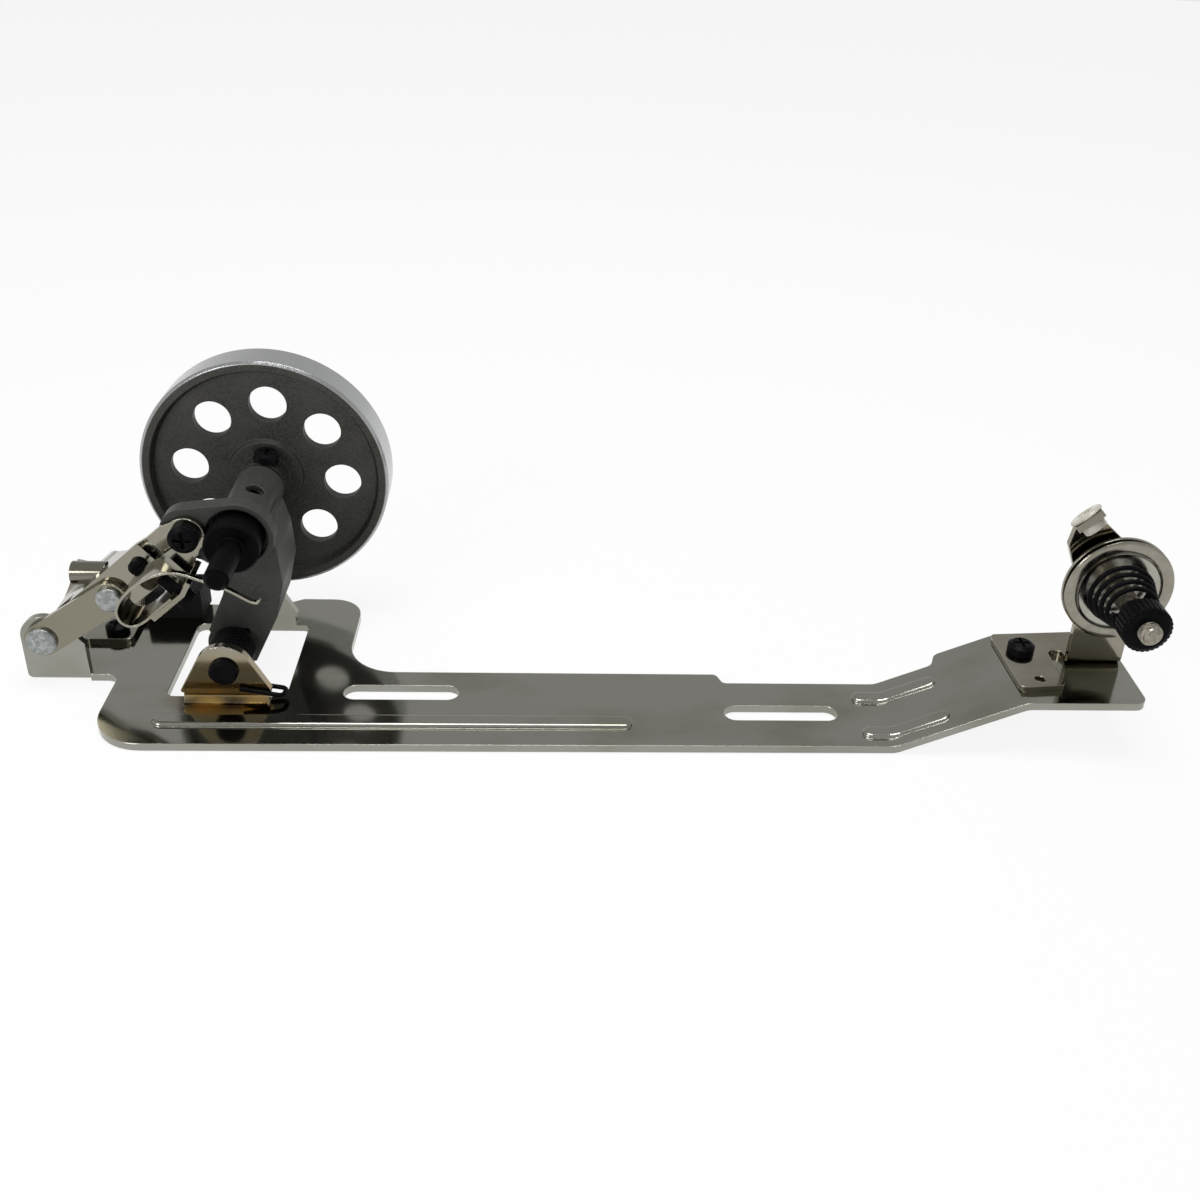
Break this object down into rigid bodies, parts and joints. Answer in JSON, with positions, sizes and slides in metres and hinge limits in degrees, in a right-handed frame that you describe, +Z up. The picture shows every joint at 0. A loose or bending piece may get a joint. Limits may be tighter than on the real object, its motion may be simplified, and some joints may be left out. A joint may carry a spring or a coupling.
{
  "type": "sewing bobbin winder",
  "caption": "Bobbin winder for a sewing table: pressed base with a raised end, swinging bracket with belt wheel and spindle, over-centre lever, thread tension discs.",
  "frame": {"origin": "on the base's flat underside, midway between the centres of the two mounting slots", "axes": "+X along the base from the winding end to the tension end, +Y to the belt side (away from the bobbin), +Z up from the table top"},
  "size_m": [0.2839, 0.0798, 0.0748],
  "materials": {
    "nickel_plate": "bright nickel plate, slightly warm",
    "cast_grey": "fine-grained grey paint on a casting",
    "wheel_grey": "satin blue-grey, smooth rim",
    "black_steel": "black oxide, satin",
    "spring_steel": "bright spring wire",
    "finger_steel": "nickel-plated spring strip",
    "zinc_rivet": "light zinc plate",
    "polished_disc": "polished chrome",
    "bronze": "sintered bronze",
    "black_rubber": "matt black rubber",
    "white_bush": "glossy white"
  },
  "bodies": {
    "base": {"base_plate": "nickel_plate", "brake_bracket": "nickel_plate", "brake_pad": "black_rubber", "brake_screw": "black_steel", "hinge_pin": "black_steel", "hinge_clip": "spring_steel", "torsion_spring": "black_steel", "link_rivet": "zinc_rivet", "tension_bracket": "nickel_plate", "tension_foot_screw": "black_steel", "thread_eyelet": "white_bush", "tension_stud": "black_steel", "rear_tension_disc": "polished_disc"},
    "swing": {"swing_bracket": "cast_grey", "spindle_bush_front": "bronze", "spindle_bush_rear": "bronze", "lever_pivot_screw": "black_steel"},
    "wheel": {"bobbin_spindle": "black_steel", "spindle_collar": "black_steel", "bobbin_grip_spring": "spring_steel", "drive_wheel": "wheel_grey", "wheel_set_screw": "black_steel"},
    "lever": {"winding_lever": "nickel_plate", "finger_screw": "black_steel", "finger_adjuster": "black_steel", "latch_finger": "finger_steel"},
    "link": {"link_bar": "nickel_plate", "knee_rivet": "zinc_rivet"},
    "tension_disc": {"front_tension_disc": "polished_disc", "tension_spring": "black_steel"},
    "nut": {"tension_nut": "black_steel"}
  },
  "joints": [
    {"name": "bracket_swing", "type": "hinge", "parent": "base", "child": "swing", "pos_m": [-0.0903, 0, 0.0109], "axis": [0, -1, 0], "range_deg": [0, 9], "deforming": ["torsion_spring"]},
    {"name": "wheel_spin", "type": "hinge", "parent": "swing", "child": "wheel", "pos_m": [-0.0863, 0, 0.0427], "axis": [0, -1, 0], "continuous": true},
    {"name": "lever_swing", "type": "hinge", "parent": "swing", "child": "lever", "pos_m": [-0.0979, 0, 0.0437], "axis": [0, -1, 0], "range_deg": [-36, 0]},
    {"name": "link_swing", "type": "hinge", "parent": "base", "child": "link", "pos_m": [-0.1365, 0, 0.013], "axis": [0, -1, 0], "range_deg": [0, 40.2]},
    {"name": "disc_lift", "type": "slide", "parent": "base", "child": "tension_disc", "axis": [0, -1, 0], "range_m": [0, 0.001], "stiffness_N_per_m": 400, "deforming": ["tension_spring"]},
    {"name": "nut_turn", "type": "hinge", "parent": "base", "child": "nut", "pos_m": [0.128, 0, 0.0393], "axis": [0, -1, 0], "range_deg": [-360, 360]}
  ],
  "couplings": [
    {"joint": "link_swing", "follows": "bracket_swing", "ratio": 4.4415},
    {"joint": "lever_swing", "follows": "bracket_swing", "ratio": -3.969}
  ]
}
